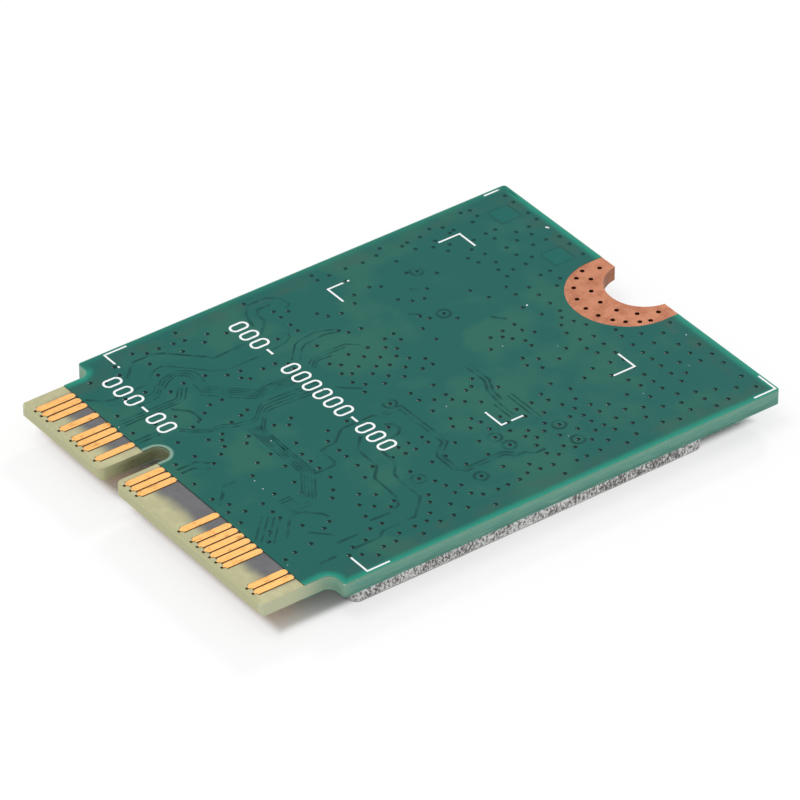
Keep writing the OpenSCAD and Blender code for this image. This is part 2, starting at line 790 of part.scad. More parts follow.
// The frame's lip lies on the cover's floor, and a step keeps it out of the bend
module shield_frame() {
  bend_in = bend_r - cover_t;
  step = bend_in - sqrt(bend_in * bend_in - pow(bend_in - frame_clear / 2, 2));
  open_l = frame_l - 2 * (frame_t + lip_w);
  open_w = frame_w - 2 * (frame_t + lip_w);
  color("lightsteelblue") from_edge() {
    translate([0, 0, cover_t + step]) {
      linear_extrude(z_seat - cover_t - step) frame_ring(0);
      linear_extrude(frame_t) frame_lip(0, open_l, open_w);
    }
    translate([0, 0, cover_t])
      linear_extrude(step + frame_t / 2) frame_lip(bend_in, open_l, open_w);
  }
}

module shield_solder() {
  color("lightgray") from_edge() translate([0, 0, z_seat])
    linear_extrude(solder_t) frame_ring(fillet_w);
}

// Antenna sockets

module base_outline() {
  inner_w = flange_w - 2 * flange_t;
  square([flange_w - tail_w, inner_w], center = true);
}

module antenna_socket_bases() {
  color("beige") hanging() at_sockets() difference() {
    linear_extrude(base_h) base_outline();
    translate([0, 0, -1]) cylinder(d = pin_d, h = base_h + 2);
    translate([-flange_w, -tail_w / 2, -1]) cube([flange_w, tail_w, 1 + flange_t]);
  }
}

module antenna_socket_shells() {
  color("gold") hanging() at_sockets() {
    difference() {
      union() {
        translate([0, 0, base_h]) box(flange_w - tail_w, flange_w, flange_t);
        translate([0, 0, base_h]) cylinder(d = ring_d, h = flange_t + ring_h);
      }
      cylinder(d = ring_d - 2 * ring_t, h = base_h + ring_h + 1);
    }
    for (side = [-1, 1])
      translate([0, side * (flange_w - flange_t) / 2, 0]) box(foot_l, flange_t, base_h);
  }
}

module antenna_socket_pins() {
  color("gold") hanging() at_sockets() {
    cylinder(d = pin_d, h = pin_h);
    translate([-flange_w / 2, -tail_w / 2, 0]) cube([flange_w / 2, tail_w, flange_t]);
  }
}

// Chips

module radio_metal() {
  linear_extrude(lead_t) quad_leads(radio_w, RADIO_PINS, 0);
}

module radio_plate() {
  linear_extrude(lead_t) ground_pad(radio_pad_w, 0);
}

module front_end_metal() {
  linear_extrude(lead_t) {
    quad_leads(front_end_w, FRONT_END_PINS, 0);
    ground_pad(front_end_pad_w, 0);
  }
}

module regulator_metal() {
  linear_extrude(lead_t) {
    quad_leads(regulator_w, REGULATOR_PINS, 0);
    ground_pad(regulator_pad_w, 0);
  }
}

module memory_metal() {
  linear_extrude(lead_t) dual_leads(memory_l, MEMORY_PINS, 0);
}

module radio_chip() {
  color("dimgray") hanging() each_at(RADIO_AT) difference() {
    box(radio_w, radio_w, radio_h);
    radio_metal();
    radio_plate();
  }
}

module radio_leads() {
  color("silver") hanging() each_at(RADIO_AT) radio_metal();
}

module radio_ground_pad() {
  color("silver") hanging() each_at(RADIO_AT) radio_plate();
}

module front_end_chips() {
  color("dimgray") hanging() each_at(FRONT_ENDS_AT) difference() {
    box(front_end_w, front_end_w, front_end_h);
    front_end_metal();
  }
}

module front_end_leads() {
  color("silver") hanging() each_at(FRONT_ENDS_AT) front_end_metal();
}

module regulator_chip() {
  color("dimgray") hanging() each_at(REGULATOR_AT) difference() {
    box(regulator_w, regulator_w, regulator_h);
    regulator_metal();
  }
}

module regulator_leads() {
  color("silver") hanging() each_at(REGULATOR_AT) regulator_metal();
}

module memory_chip() {
  color("dimgray") hanging() each_at(MEMORY_AT) difference() {
    box(memory_l, memory_w, memory_h);
    memory_metal();
  }
}

module memory_leads() {
  color("silver") hanging() each_at(MEMORY_AT) memory_metal();
}

// Crystal

module crystal_case() {
  color("tan") hanging() each_at(CRYSTAL_AT) difference() {
    box(crystal_l, crystal_w, crystal_h);
    linear_extrude(lead_t) crystal_lands(0);
  }
}

module crystal_lid() {
  color("silver") hanging() each_at(CRYSTAL_AT) translate([0, 0, crystal_h])
    linear_extrude(crystal_lid_t)
      rounded(crystal_l - 2 * crystal_lid_in, crystal_w - 2 * crystal_lid_in, crystal_lid_in);
}

module crystal_terminals() {
  color("gold") hanging() each_at(CRYSTAL_AT)
    linear_extrude(lead_t) crystal_lands(0);
}

// Components with two metal ends

module ends(l, w, h, end) {
  linear_extrude(h) end_lands(l, w, end, 0);
}

module power_inductors() {
  color("gray") hanging() each_at(INDUCTORS_AT)
    box(inductor_l - 2 * inductor_end, inductor_w, inductor_h);
}

module inductor_terminals() {
  color("silver") hanging() each_at(INDUCTORS_AT)
    ends(inductor_l, inductor_w, inductor_h, inductor_end);
}

module band_filters() {
  color("ivory") hanging() each_at(FILTERS_AT)
    box(filter_l - 2 * filter_end, filter_w, filter_h);
}

module filter_terminals() {
  color("silver") hanging() each_at(FILTERS_AT)
    ends(filter_l, filter_w, filter_h, filter_end);
}

module capacitors() {
  color("tan") hanging() each_at(CAPACITORS_AT)
    box(capacitor_l - 2 * capacitor_end, capacitor_w, capacitor_h);
}

module capacitor_terminals() {
  color("silver") hanging() each_at(CAPACITORS_AT)
    ends(capacitor_l, capacitor_w, capacitor_h, capacitor_end);
}

module resistors() {
  color("ivory") hanging() each_at(RESISTORS_AT)
    box(resistor_l - 2 * resistor_end, resistor_w, resistor_h);
}

module resistor_terminals() {
  color("silver") hanging() each_at(RESISTORS_AT)
    ends(resistor_l, resistor_w, resistor_h, resistor_end);
}

module resistor_films() {
  color("black") hanging() each_at(RESISTORS_AT) translate([0, 0, resistor_h])
    box(resistor_l - 2 * resistor_end, resistor_w, film_t);
}

board_laminate();
back_mask();
component_mask();
back_contacts();
component_contacts();
screw_pad();
back_legend();
component_lands();
solder_joints();
shield_frame();
shield_cover();
shield_solder();
antenna_socket_bases();
antenna_socket_shells();
antenna_socket_pins();
radio_chip();
radio_leads();
radio_ground_pad();
front_end_chips();
front_end_leads();
regulator_chip();
regulator_leads();
memory_chip();
memory_leads();
crystal_case();
crystal_lid();
crystal_terminals();
power_inductors();
inductor_terminals();
band_filters();
filter_terminals();
capacitors();
capacitor_terminals();
resistors();
resistor_terminals();
resistor_films();
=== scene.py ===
import math
import random

import bpy
from bpy.props import FloatProperty, FloatVectorProperty, IntProperty, PointerProperty
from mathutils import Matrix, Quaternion, Vector


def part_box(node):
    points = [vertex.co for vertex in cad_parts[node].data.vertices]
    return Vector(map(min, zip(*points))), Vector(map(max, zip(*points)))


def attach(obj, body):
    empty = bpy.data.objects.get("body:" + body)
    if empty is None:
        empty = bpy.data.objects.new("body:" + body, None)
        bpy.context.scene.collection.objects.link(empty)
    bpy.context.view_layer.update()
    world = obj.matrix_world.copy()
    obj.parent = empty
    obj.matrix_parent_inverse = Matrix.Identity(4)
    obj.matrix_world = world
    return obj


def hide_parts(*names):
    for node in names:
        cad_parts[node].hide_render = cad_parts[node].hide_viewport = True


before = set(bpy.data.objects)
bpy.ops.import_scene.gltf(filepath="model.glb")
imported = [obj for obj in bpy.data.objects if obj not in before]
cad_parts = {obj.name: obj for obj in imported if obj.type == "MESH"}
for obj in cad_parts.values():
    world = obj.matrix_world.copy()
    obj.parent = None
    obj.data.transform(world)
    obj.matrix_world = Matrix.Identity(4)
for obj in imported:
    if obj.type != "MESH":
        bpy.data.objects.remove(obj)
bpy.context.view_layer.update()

bl_info = {
    "name": "Wifi card looks",
    "version": (1, 0, 0),
    "blender": (4, 5, 0),
    "location": "3D View > Sidebar > Wifi Card",
    "description": "Finishes and fine relief of a laptop's plug-in wifi card",
    "category": "Object",
}

MM = 0.001
BODY = "root"

# The card's places in millimetres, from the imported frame
BOARD_LOW, BOARD_HIGH = (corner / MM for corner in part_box("board_laminate"))
MASK_LOW, MASK_HIGH = (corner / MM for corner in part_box("back_mask"))
SHIELD_LOW, SHIELD_HIGH = (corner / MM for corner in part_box("shield_cover"))
CONTACT_EDGE = BOARD_LOW.x
SCREW_EDGE = BOARD_HIGH.x
HALF_W = BOARD_HIGH.y
MASK_TOP = MASK_HIGH.z
TAB_LENGTH = 4
TAB_HALF_W = 9.925
SHOULDER_R = 0.5
KEY_SLOT = {"y": 2.625, "radius": 0.6, "end": 3.5}
# Stretches across the tab that the contacts cover, where the painted shade lines run
CONTACT_GROUPS = [
    (7.75, 9.25), (6.75, 7.25), (4.75, 6.25), (3.75, 4.25), (0.25, 1.75), (-3.25, -2.75),
    (-6.75, -3.75), (-9.25, -8.25),
]
CONTACT_PITCH = 0.5

# Single gaps between the copper tracks under the back mask: distance from the
# contact edge and place across the board, in millimetres
LOOSE_GAPS = [
    [(5.1, 8.5), (5.5, 8.8), (6.25, 9.5), (7.4, 9.5), (7.9, 9.2), (9.3, 7.8)],
    [(2.6, 8.3), (3.3, 7.7), (3.7, 7.5), (5, 7.55)],
    [(5.5, 5.2), (6.1, 4.6), (6.2, 4.3), (6.2, 3.85), (5.9, 3.5)],
    [(2.6, 4.1), (4, 4.1)],
    [(2.6, 3.85), (3.9, 3.85)],
    [(2.9, 1), (4, 1), (4.5, 0.5)],
    [(2.9, 0.65), (3.6, 0.65), (4.4, 0)],
    [(2.9, -2.5), (3.5, -1.9), (3.9, -1.4), (4.6, -1.4)],
    [(4, -6.5), (4.3, -6.05), (5.05, -5.2), (5.5, -5.2), (5.85, -5.35), (6.45, -6), (6.5, -6.3)],
    [(5, -6.7), (5.9, -7.6)],
    [(5.6, -8.2), (6.8, -8.2)],
    [(4, -9), (5, -9)],
    [(6, -9), (7.5, -9), (7.9, -8.7), (9.8, -8.7)],
    [(7.9, -7.7), (9.2, -7.75)],
    [(8, -3.15), (9.1, -3.15), (9.3, -2.9), (9.3, -2.1), (9.6, -1.8)],
    [(9.2, -1.9), (9.5, -1.75), (10.2, -1.7), (11.1, -0.97), (12.95, -0.97), (13.35, -1.35),
     (14.3, -1.35), (14.36, -4.7), (13.7, -5.2), (13.46, -5.5), (13.46, -6.75), (13.9, -7.25),
     (16.1, -7.25), (16.5, -7.65), (17, -7.7), (17.4, -8.05), (18, -8.05)],
    [(13.45, -1.15), (14.55, -1.15), (14.6, -4.8), (13.7, -5.6), (13.7, -6.7), (14, -7.03),
     (16.2, -7.03), (16.6, -7.42)],
    [(11.5, -2), (10.75, -2.8), (10.7, -4.4), (10.05, -5.1), (10, -6.9), (9.7, -7.5),
     (9.2, -7.7)],
    [(11.6, -3.6), (11.6, -4.7), (11, -5.4), (10.9, -5.8), (10.9, -7.6), (9.8, -8.7)],
    [(13, -1.9), (13.35, -2.1), (13.4, -2.6), (13.1, -2.9), (12.6, -3)],
    [(12.6, 2.2), (13.9, 1.1)],
    [(9.3, 7.9), (9.6, 7.45), (11.5, 7.5)],
    [(12.6, 7.7), (13.4, 8.5), (13.4, 9.2), (13.7, 9.5), (14.4, 9.5)],
    [(12.7, 8.5), (12.9, 9.4), (13.5, 10.1), (14.5, 10.1), (15.1, 9.7), (15.2, 9), (14.9, 8.8)],
    [(19, -0.4), (19, -1.9), (18.6, -2.7), (18.5, -3.6)],
    [(19.25, -0.4), (19.25, -1.95), (18.85, -2.75), (18.75, -3.6)],
    [(22.5, 2.2), (23, 1.6)],
    [(19.4, 4.8), (19.9, 4.4)],
    [(20.7, 6.5), (21, 6.2)],
]
# Gaps that run side by side, about 0.17 mm apart
BUNDLED_GAPS = [
    [(12.4, 4), (9.65, 4.1), (8.05, 5.68), (8.2, 6.55), (8.2, 7.05), (7.95, 7.35), (7.55, 7.65),
     (7, 7.6), (6.5, 7.5), (6.25, 7.25), (5.95, 7.2), (5.65, 6.88), (5.35, 6.8), (4.8, 6.8)],
    [(12.4, 3.84), (9.56, 3.95), (7.86, 5.63), (7.95, 6.4), (7.95, 7), (7.75, 7.25), (7.4, 7.5),
     (6.95, 7.42), (6.5, 7.27), (6.33, 7.08), (6.05, 7.03), (5.68, 6.66), (5.4, 6.58), (4.6, 6.58)],
    [(12.4, 3.68), (9.47, 3.8), (7.67, 5.58), (7.72, 6.15), (7.75, 6.9), (7.6, 7.1), (7.25, 7.35),
     (6.95, 7.24), (6.6, 7.08), (6.3, 6.84), (6, 6.8), (5.7, 6.45), (5.4, 6.36), (4.4, 6.34)],
    [(12.4, 3.52), (9.38, 3.65), (7.48, 5.53), (7.55, 6.4)],
    [(12.4, 3.36), (9.3, 3.5), (8.7, 4), (7.3, 5.35)],
    [(12.4, 2.86), (9.8, 3.05), (9.25, 3.03), (8.95, 2.8), (8.5, 2.38), (8.2, 2.2), (7.25, 2.4),
     (6.65, 2.75), (6, 2.75), (5.35, 3.2), (4.9, 3.65)],
    [(12.4, 2.65), (9.7, 2.8), (9.2, 2.78), (8.95, 2.6), (8.5, 2.15), (8.15, 2), (7.15, 2.2),
     (6.55, 2.58), (5.95, 2.58), (5.35, 3), (4.8, 3.5)],
    [(12.4, 2.35), (9.6, 2.58), (9.2, 2.55), (9, 2.42), (8.37, 1.7), (8.05, 1.3), (7.95, -0.8)],
    [(12.4, 2.12), (9.55, 2.34), (9.2, 2.32), (9, 2.2), (8.55, 1.7), (8.2, 1.25), (8.12, -0.8)],
    [(6.9, 6.55), (6.25, 5.82), (6, 5.78), (2.9, 5.84)],
    [(6.97, 6.38), (6.38, 5.66), (6.1, 5.6), (2.9, 5.62)],
    [(7.15, 6.25), (6.52, 5.5), (6.25, 5.42), (2.95, 5.4)],
    [(5, 7.55), (5.8, 7.6), (6.45, 8.2), (6.75, 8.35), (7.15, 8.4), (7.5, 8.15), (9, 6.55),
     (9.7, 6.25), (11.65, 6.25), (13.1, 6.4), (13.6, 6.7), (13.7, 7)],
    [(13, 4.3), (13.35, 4.55), (13.8, 4.65), (15.4, 4.6), (15.95, 4.1)],
    [(13, 4), (13.35, 4.35), (13.75, 4.45), (15.25, 4.4)],
    [(13.05, 3.85), (13.45, 4.22), (13.8, 4.27), (14.3, 4.2)],
    [(12.55, 5.05), (13.4, 6), (13.7, 6.15), (14.8, 6.3), (15.75, 5.9)],
    [(12.85, 4.8), (13.45, 5.5), (13.85, 5.75), (15.1, 5.85), (15.8, 5.6)],
]
# Bundles of evenly spaced gaps: the first one, each point's step, and how many
EVEN_BUNDLES = [
    ([(7.5, 1.6), (7.5, -2.7), (6.45, -4.25)], [(0.15, 0), (0.15, -0.06), (0.09, -0.15)], 5),
    ([(5.3, -4.75), (6.5, -4.75)], [(0, -0.14), (0, -0.14)], 3),
    ([(5.3, -3.9), (6, -3.9)], [(0, -0.22), (0, -0.22)], 4),
    ([(2.6, -5.8), (4, -4.4)], [(0.21, -0.21), (0.21, -0.21)], 4),
    ([(18.2, -3.7), (18.2, -5)], [(0.25, 0), (0.25, 0)], 2),
    ([(19.15, -3.5), (19.15, -6)], [(0.25, 0), (0.25, 0)], 2),
]
# Covered vias that stand in a ring of bare laminate
RING_GAPS = [
    (14.2, -8), (21.9, 7.5), (14.2, -0.7), (11.7, -6.4), (16.8, -6.8), (19.7, -6.9),
    (19.7, -8.4), (16.6, -5.9), (20.8, 3.8),
]
# Dust and small chips on the mask: place and width
SPECKS = [
    (29.4, 6.7, 0.24), (24.5, 1.93, 0.13), (29.2, -4.7, 0.1), (2.65, 5.5, 0.07),
    (7.85, 0.25, 0.09), (16.25, -2.5, 0.06), (21.45, -0.12, 0.06), (5.35, -1.9, 0.07),
    (5.3, -2.65, 0.07), (27.7, -6.8, 0.05), (24.5, -7.3, 0.05), (23.6, -1.7, 0.05),
    (19.5, -7.9, 0.05), (2.75, -8.2, 0.05),
]
# How uneven and how high a speck is, as parts of its width
SPECK_ROUGHNESS, SPECK_HEIGHT = 0.12, 0.12
# Plain squares of copper under the mask: their low corners, and their width
SQUARES, SQUARE_W = [(27.8, 8.3), (27.7, 3.8)], 1.2
# Where the printed marks sink into a via and break, placed as the gaps are
INK_BREAKS = [(18.5, 8.9), (17.9, -5.3), (5.4, 9.75), (4.2, 7.2)]
# The shield cover's mesh grid and the size of its dents, in millimetres
SHEET_GRID, DENT_SIZE = 0.25, 2.2
# The camera's place and the floor's drop in millimetres, the camera's angles in degrees
CAMERA_PLACE = (-163.07, -221.70, 199.89)
CAMERA_HEADING, CAMERA_DROP, CAMERA_ROLL = 53.61, 35.79, 0.15
FLOOR_DROP = 0.02
# Each lamp's place and width in metres
LAMPS = {"soft_box": ((-0.11, 0.05, 0.34), 0.18), "back_lamp": ((0.286, 0.2, 0.234), 0.06)}


def tint(red, green, blue):
    """A linear colour from the 0 to 255 values that a screen shows."""
    return tuple(
        v / 12.92 if v <= 0.04045 else ((v + 0.055) / 1.055) ** 2.4
        for v in (red / 255, green / 255, blue / 255)
    )


def toned(shade, factor):
    """A linear colour made lighter or darker."""
    return tuple(min(1.0, factor * c) for c in shade)


def colour(name, description, red, green, blue):
    """A colour that the user can change."""
    return FloatVectorProperty(
        name=name, description=description, default=tint(red, green, blue),
        subtype="COLOR", min=0, max=1,
    )


def length(name, description, millimetres):
    """A length that the user can change."""
    return FloatProperty(
        name=name, description=description, default=millimetres * MM, min=0,
        subtype="DISTANCE", unit="LENGTH", precision=5,
    )


class CardSizes(bpy.types.PropertyGroup):
    """Sizes of the fine relief and of the drawn zones."""

    bare_rim: length("Bare rim", "Width of the rim without copper along the board's edges", 0.4)
    gap_width: length("Track gap width", "Width of a gap between two copper tracks", 0.17)
    bundled_width: length("Bundled gap width", "Width of a gap where tracks run side by side", 0.11)
    gap_relief: length("Track gap relief", "Height of a track gap's bead over the mask", 0.004)
    ring_radius: length("Via ring radius", "Radius of the bare ring around some vias", 0.34)
    slot_rim: length("Slot rim", "Width of the pale rim around the key slot", 0.17)
    sheet: length("Sheet thickness", "Thickness of the shield cover's sheet", 0.12)
    bend: length("Bend radius", "Outer radius of the cover's bent edge", 0.18)
    corner: length("Corner radius", "Radius of the cover's upright corners", 0.5)
    dents: length("Dents", "Depth of the dents that handling left in the cover", 0.03)


class CardColours(bpy.types.PropertyGroup):
    """Colours of the finishes."""

    mask: colour("Mask", "Solder mask over copper", 39, 98, 91)
    mask_patch: colour("Mask patches", "Solder mask over a thinner copper layer", 50, 104, 92)
    mask_dull: colour("Dull mask", "Thin solder mask near the board's edges", 64, 94, 84)
    mask_clear: colour("Clear mask", "Solder mask over a bare copper square", 30, 104, 96)
    mask_rim: colour("Mask rim", "Solder mask on bare laminate along the edges", 45, 141, 120)
    mask_gap: colour("Track gaps", "Solder mask in the gaps between tracks", 30, 74, 70)
    via: colour("Via", "Bottom of a covered via", 0, 40, 36)
    slot_rim: colour("Slot rim", "Pale rim around the key slot", 128, 160, 144)
    laminate: colour("Laminate", "Bare glass and resin of the tab", 174, 171, 131)
    inner_plane: colour("Inner copper", "Inner copper that shows through the tab", 89, 89, 91)
    contact_gap_shade: colour("Contact gap", "Shaded gap between two contacts", 62, 44, 24)
    # The slot wall colour is also the painted shade inside the key slot
    slot_wall_and_shade: colour("Slot wall", "Cut wall of the key slot", 128, 130, 96)
    wall: colour("Board wall", "Cut wall of the board", 86, 148, 131)
    wall_low: colour("Lower wall", "Cut wall near the lower face", 64, 126, 111)
    # The pale wall colour is also the painted highlight on the wall's upper half
    wall_glass_and_highlight: colour("Pale wall", "Glass that shows in the cut wall", 120, 166, 147)
    tab_corner: colour("Tab corner", "Cut wall at the tab's corners", 206, 212, 182)
    chip: colour("Chips", "Chipped resin along the cut edges", 225, 236, 224)
    gold: colour("Gold", "Plated contacts", 238, 180, 108)
    gold_end: colour("Cut plating", "Dark cut end of a plating track", 48, 36, 22)
    gold_worn: colour("Worn gold", "Plating rubbed thin", 178, 128, 66)
    pit: colour("Pits", "Pits in the plating", 96, 66, 34)
    copper: colour("Copper", "Bare screw pad", 160, 106, 80)
    copper_dull: colour("Dull copper", "Stained copper", 142, 88, 64)
    ink: colour("Ink", "Printed marks", 240, 243, 243)
    sheet: colour("Sheet", "Tinned sheet of the shield", 230, 229, 228)
    # The dull sheet colour is also the painted shade along the cover's lower edge
    sheet_grain_and_shade: colour("Dull sheet", "Dark grain of the tinned sheet", 104, 100, 98)
    floor: colour("Floor", "Paper that the card lies on", 250, 250, 250)


class CardStage(bpy.types.PropertyGroup):
    """Camera and light."""

    lens: FloatProperty(name="Lens", description="Focal length", default=316.4, unit="CAMERA")
    ambient: FloatProperty(
        name="Ambient", description="Strength of the all-round light", default=0.71
    )
    key_power: FloatProperty(
        name="Key lamp", description="Power of the soft lamp overhead", default=0.34, unit="POWER"
    )
    back_power: FloatProperty(
        name="Back lamp", description="Power of the small lamp behind the card", default=0.42,
        unit="POWER",
    )
    shown_white: FloatProperty(
        name="White paper", description="How far the paper shows plain white", default=0.7,
        min=0, max=1,
    )
    specks_seed: IntProperty(name="Seed", description="Seed of the scattered specks", default=5)


class Wire:
    """The output of a shader node, which can be reckoned with like a number."""

    def __init__(self, tree, socket):
        self.tree = tree
        self.socket = socket

    def node(self, kind, settings, inputs, output=0):
        """A new node: its settings first, then the values or links of its sockets."""
        made = self.tree.nodes.new(kind)
        for name, value in settings.items():
            setattr(made, name, value)
        for key, value in inputs.items():
            if isinstance(value, Wire):
                self.tree.links.new(value.socket, made.inputs[key])
            else:
                made.inputs[key].default_value = value
        return Wire(self.tree, made.outputs[output])

    def math(self, operation, *values):
        return self.node("ShaderNodeMath", {"operation": operation}, dict(enumerate(values)))

    def __add__(self, other):
        return self.math("ADD", self, other)

    def __sub__(self, other):
        return self.math("SUBTRACT", self, other)

    def __mul__(self, other):
        return self.math("MULTIPLY", self, other)

    def __truediv__(self, other):
        return self.math("DIVIDE", self, other)

    def __pow__(self, other):
        return self.math("POWER", self, other)

    def __rsub__(self, other):
        return self.math("SUBTRACT", other, self)

    def __abs__(self):
        return self.math("ABSOLUTE", self)

    def least(self, other):
        return self.math("MINIMUM", self, other)

    def most(self, other):
        return self.math("MAXIMUM", self, other)

    def rise(self, low, high, bottom=0.0, top=1.0):
        """A soft step from bottom to top as the value goes from low to high."""
        return self.node(
            "ShaderNodeMapRange",
            {"interpolation_type": "SMOOTHSTEP"},
            {"Value": self, "From Min": low, "From Max": high, "To Min": bottom, "To Max": top},
        )

    def inside(self, low, high, soft):
        """1 between low and high, with soft ends."""
        return self.rise(low - soft, low + soft) * (1 - self.rise(high - soft, high + soft))

    def blend(self, start, end):
        """The colour start where this is 0 and end where it is 1."""
        first, second = (c if isinstance(c, Wire) else (*c, 1) for c in (start, end))
        return self.node("ShaderNodeMix", {"data_type": "RGBA"}, {0: self, 6: first, 7: second}, 2)

    def scaled(self, x, y, z):
        return self.node("ShaderNodeVectorMath", {"operation": "MULTIPLY"}, {0: self, 1: (x, y, z)})

    def axes(self):
        split = self.node("ShaderNodeSeparateXYZ", {}, {0: self})
        return [Wire(self.tree, out) for out in split.socket.node.outputs]

    def noise(self, scale, detail=2.0, rough=0.5):
        return self.node(
            "ShaderNodeTexNoise", {},
            {"Vector": self, "Scale": scale, "Detail": detail, "Roughness": rough},
        )

    def cells(self, scale):
        return self.node("ShaderNodeTexVoronoi", {}, {"Vector": self, "Scale": scale})


def object_spot(tree):
    """A point's place on its object, in millimetres."""
    place = tree.nodes.new("ShaderNodeTexCoord")
    return Wire(tree, place.outputs["Object"]).scaled(1 / MM, 1 / MM, 1 / MM)


class Finish:
    """A material whose point places are read in millimetres."""

    def __init__(self, name, metallic, roughness, specular=0.5):
        self.material = bpy.data.materials.new(name)
        self.material.use_nodes = True
        self.tree = self.material.node_tree
        self.shader = self.tree.nodes["Principled BSDF"]
        constants = {
            "Metallic": metallic, "Roughness": roughness, "Specular IOR Level": specular,
        }
        for key, value in constants.items():
            self.shader.inputs[key].default_value = value
        self.spot = object_spot(self.tree)

    def feed(self, key, wire):
        self.tree.links.new(wire.socket, self.shader.inputs[key])

    def bump(self, height, depth):
        """A relief: height from 0 to 1, depth in millimetres."""
        inputs = {"Strength": 1.0, "Distance": depth * MM, "Height": height}
        self.feed("Normal", height.node("ShaderNodeBump", {}, inputs))


def shown_rays(tree):
    """1 for what the camera, a gloss or a clear piece shows of the surroundings."""
    rays = tree.nodes.new("ShaderNodeLightPath")
    camera, glossy, clear = (
        Wire(tree, rays.outputs[f"Is {kind} Ray"]) for kind in ("Camera", "Glossy", "Transmission")
    )
    return camera.most(glossy).most(clear)


def dress(node, finish):
    """Gives a CAD node its material."""
    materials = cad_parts[node].data.materials
    materials.clear()
    materials.append(finish.material)


def row_point(from_edge, across, height):
    """A place on the board, measured in millimetres from the contact edge, in metres."""
    return Vector((CONTACT_EDGE + from_edge, across, height)) * MM


def start_mesh(name, adder, **settings):
    """Adds a primitive with nothing else selected, and names it."""
    bpy.ops.object.select_all(action="DESELECT")
    adder(**settings)
    piece = bpy.context.object
    piece.name = name
    piece.data.name = name
    return piece


def select_only(*pieces):
    bpy.ops.object.select_all(action="DESELECT")
    for piece in pieces:
        piece.select_set(True)
    bpy.context.view_layer.objects.active = pieces[0]


def hand_over(piece, finish):
    """A finished piece rides on the body and takes its finish."""
    select_only(piece)
    bpy.ops.object.transform_apply(location=True, rotation=True, scale=True)
    piece.data.materials.clear()
    piece.data.materials.append(finish.material)
    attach(piece, BODY)


def pick(piece, kind, test):
    """Selects the edges or faces of an edited mesh that pass the test."""
    bpy.ops.mesh.select_mode(type=kind)
    bpy.ops.mesh.select_all(action="DESELECT")
    bpy.ops.object.mode_set(mode="OBJECT")
    mesh = piece.data
    if kind == "EDGE":
        for edge in mesh.edges:
            edge.select = test(*(mesh.vertices[i].co for i in edge.vertices))
    else:
        for face in mesh.polygons:
            face.select = test(face)
    bpy.ops.object.mode_set(mode="EDIT")


def draw_gap(points):
    """Draws a chain of edges in the mesh that is being edited."""
    places = [row_point(x, y, MASK_TOP) for x, y in points]
    bpy.ops.mesh.select_all(action="DESELECT")
    bpy.ops.mesh.primitive_plane_add(size=0.1 * MM, location=places[0])
    bpy.ops.mesh.merge(type="CENTER")
    for here, there in zip(places, places[1:]):
        bpy.ops.mesh.extrude_region_move(TRANSFORM_OT_translate={"value": there - here})


def raise_beads(name, paths, rings, width, sizes):
    """Low rounded beads along the paths and the rings, on top of the mask."""
    start_mesh(name, bpy.ops.mesh.primitive_plane_add, size=MM)
    bpy.ops.object.mode_set(mode="EDIT")
    bpy.ops.mesh.delete(type="VERT")
    for path in paths:
        draw_gap(path)
    for x, y in rings:
        bpy.ops.mesh.primitive_circle_add(
            vertices=20, radius=sizes.ring_radius, location=row_point(x, y, MASK_TOP)
        )
    bpy.ops.object.mode_set(mode="OBJECT")
    bpy.ops.object.convert(target="CURVE")
    curve = bpy.context.object.data
    curve.bevel_depth = width / 2
    curve.bevel_resolution = 1
    bpy.ops.object.convert(target="MESH")
    beads = bpy.context.object
    bpy.ops.object.mode_set(mode="EDIT")
    bpy.ops.mesh.select_all(action="SELECT")
    bpy.ops.transform.resize(
        value=(1, 1, 2 * sizes.gap_relief / width), center_override=(0, 0, MASK_TOP * MM)
    )
    bpy.ops.object.mode_set(mode="OBJECT")
    bpy.ops.object.shade_smooth_by_angle(angle=math.radians(60))
    return beads


def bundled_gaps():
    """The paths of all the gaps that run side by side."""
    paths = list(BUNDLED_GAPS)
    for first, steps, count in EVEN_BUNDLES:
        for i in range(count):
            paths.append([(x + dx * i, y + dy * i) for (x, y), (dx, dy) in zip(first, steps)])
    return paths


def from_slot(x, y):
    """The distance from the key slot's wall, in millimetres."""
    past = (x - (CONTACT_EDGE + KEY_SLOT["end"] - KEY_SLOT["radius"])).most(0.0)
    beside = y - KEY_SLOT["y"]
    return (past * past + beside * beside) ** 0.5 - KEY_SLOT["radius"]


def from_outline(x, y):
    """The distance from the board's edges and shoulders, in millimetres."""
    across = abs(y)
    along = (x - (CONTACT_EDGE + TAB_LENGTH - SHOULDER_R)).most(0.0)
    inward = (TAB_HALF_W + SHOULDER_R - across).most(0.0)
    shoulder = (along * along + inward * inward) ** 0.5 - SHOULDER_R
    return (SCREW_EDGE - x).least(HALF_W - across).least(shoulder)


